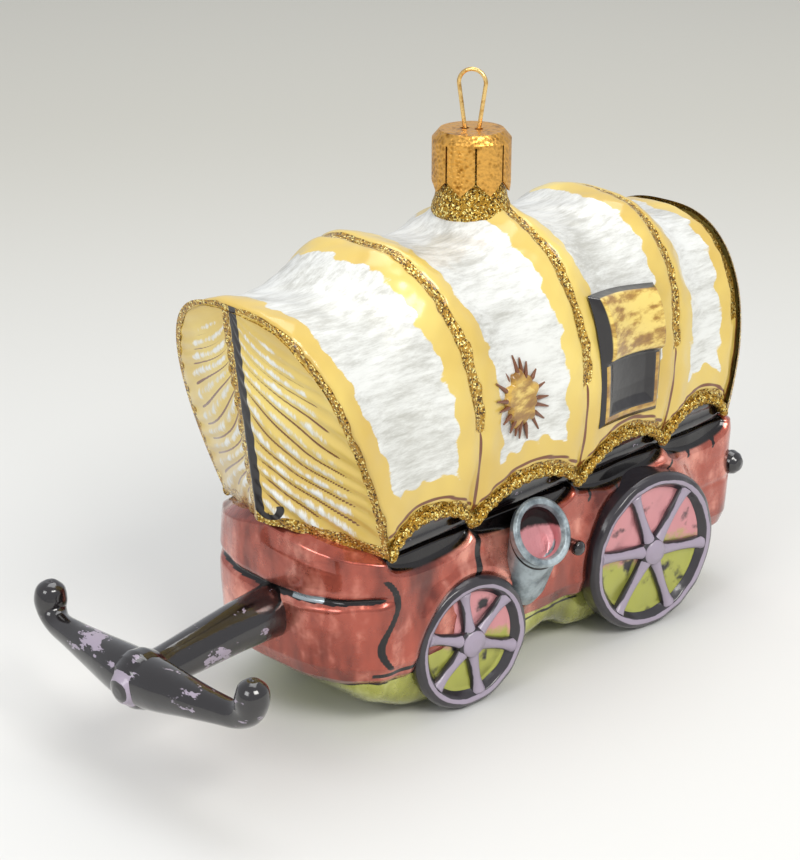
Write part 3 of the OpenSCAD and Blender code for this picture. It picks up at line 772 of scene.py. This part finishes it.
def neck_and_collar():
    line = [(72, 5.1), (75.4, 5.3), (76.3, 6.3), (77.4, 6.75), (78.6, 6.5), (79.6, 6.1), (80.9, 5.9),
            (82, 5.6), (84, 5.3), (90.2, 5.3), (90.2, 4.5), (80, 4.5)]
    bend = lambda p: p + (0.16 * wobble(p, 4, 1.1))[..., None] * (1, 1, 0.4) * (p[..., 2:] < 80)
    collar = turned_shell(refined(line, 150), 120, (NECK_X, 0, 0), (0, 0, 1), (1, 0, 0), bend)
    joined_mesh("glitter_collar", [collar], GLITTER, "glass", ("neck",))


def sill_trim():
    """Glitter beading along the canopy's scalloped lower edge."""
    shells = []
    for side, _ in SIDES:
        t = np.linspace(0.0, 4.0, 420)
        p = arch(t, scallop_foot(t))
        thick = 0.75 + 0.1 * np.sin(t * 61) + 0.06 * np.sin(t * 143)
        path = np.c_[p[:, 0], p[:, 1] * side, p[:, 2] + 0.5, thick]
        shell = tube_shell(path, 18, None, 1.15)
        shells.append(shell)
    joined_mesh("scallop_beading", shells, GLITTER, "glass", ())


GLITTER, BLACK, WHEEL_PAINT = glitter_finish(), black_finish(), wheel_finish()
PAIL, OCHRE_CLOTH = pail_finish(), ochre_finish()
canopy()
front_cloth()
rear_cloth()
wagon_box()
underside()
for side, word in SIDES:
    wheel("front_wheel_skin_" + word, "front_wheel_" + word, FRONT_WHEEL, side, 20)
    wheel("rear_wheel_skin_" + word, "rear_wheel_" + word, REAR_WHEEL, side, 8)
    pail_and_peg(side, word)
    window_and_patch(side, word)
pole_and_yoke()
neck_and_collar()
sill_trim()

CAP_GOLD = brass_finish("stamped_gold_cap", srgb(228, 172, 86), srgb(146, 96, 30), 0.26, 0.9)
WIRE_BRASS = brass_finish("brass_wire", srgb(236, 200, 130), srgb(190, 140, 70), 0.2)
for node, finish in (("crown_cap", CAP_GOLD), ("wire_hanger", WIRE_BRASS)):
    made = frame["nodes"][node]
    made.data.materials.clear()
    made.data.materials.append(finish.data)


# ---------------------------------------------------------------- the stage
def stage():
    floor = Finish("pale_floor", Roughness=0.55, Specular_IOR_Level=0.25)
    # painted shade: the floor is painted darker toward its far side, in place of the light falling off
    tone = floor.node("ShaderNodeSeparateXYZ", None, floor.place, out=0) * 0.7
    tone = tone + floor.node("ShaderNodeSeparateXYZ", None, floor.place, out=1) * 0.7
    far = (-tone).ramp(-0.05, 0.42)
    floor.put(Base_Color=floor.mix(far, srgb(220, 220, 217), srgb(196, 194, 184)))
    bpy.ops.mesh.primitive_plane_add(size=6, location=(0, 0, 0))
    ground = bpy.context.object
    ground.name = "floor"
    ground.data.materials.append(floor.data)


def soft_light(name, at, aim, size, power, tint=(1, 1, 1)):
    lamp = bpy.data.lights.new(name, "AREA")
    lamp.shape, lamp.size, lamp.size_y = "RECTANGLE", size[0], size[1]
    lamp.energy, lamp.color = power, tint
    held = bpy.data.objects.new(name, lamp)
    bpy.context.scene.collection.objects.link(held)
    held.location = at
    held.rotation_euler = (Vector(aim) - Vector(at)).to_track_quat("-Z", "Y").to_euler()


def camera():
    lens = bpy.data.cameras.new("camera")
    lens.lens, lens.sensor_width, lens.clip_start = 88.74, 36, 0.01
    eye = bpy.data.objects.new("camera", lens)
    bpy.context.scene.collection.objects.link(eye)
    eye.location = (0.2435, 0.2295, 0.1732)
    eye.rotation_euler = Vector((-0.669, -0.646, -0.368)).to_track_quat("-Z", "Y").to_euler()
    bpy.context.scene.camera = eye


def world():
    sky = bpy.data.worlds.new("studio")
    bpy.context.scene.world = sky
    sky.use_nodes = True
    sky.node_tree.nodes["Background"].inputs[0].default_value = (0.93, 0.95, 1.0, 1)
    sky.node_tree.nodes["Background"].inputs[1].default_value = 0.66


stage()
soft_light("key", (0.15, 0.75, 0.75), (0, 0, 0.04), (0.5, 0.35), 6.0, (1, 0.98, 0.94))
soft_light("front", (0.85, 0.05, 0.5), (0, 0, 0.04), (0.4, 0.4), 2.4)
soft_light("top", (-0.25, -0.15, 0.9), (0, 0, 0.04), (0.6, 0.6), 3.0)
camera()
world()
bpy.context.scene.view_settings.view_transform = "Standard"
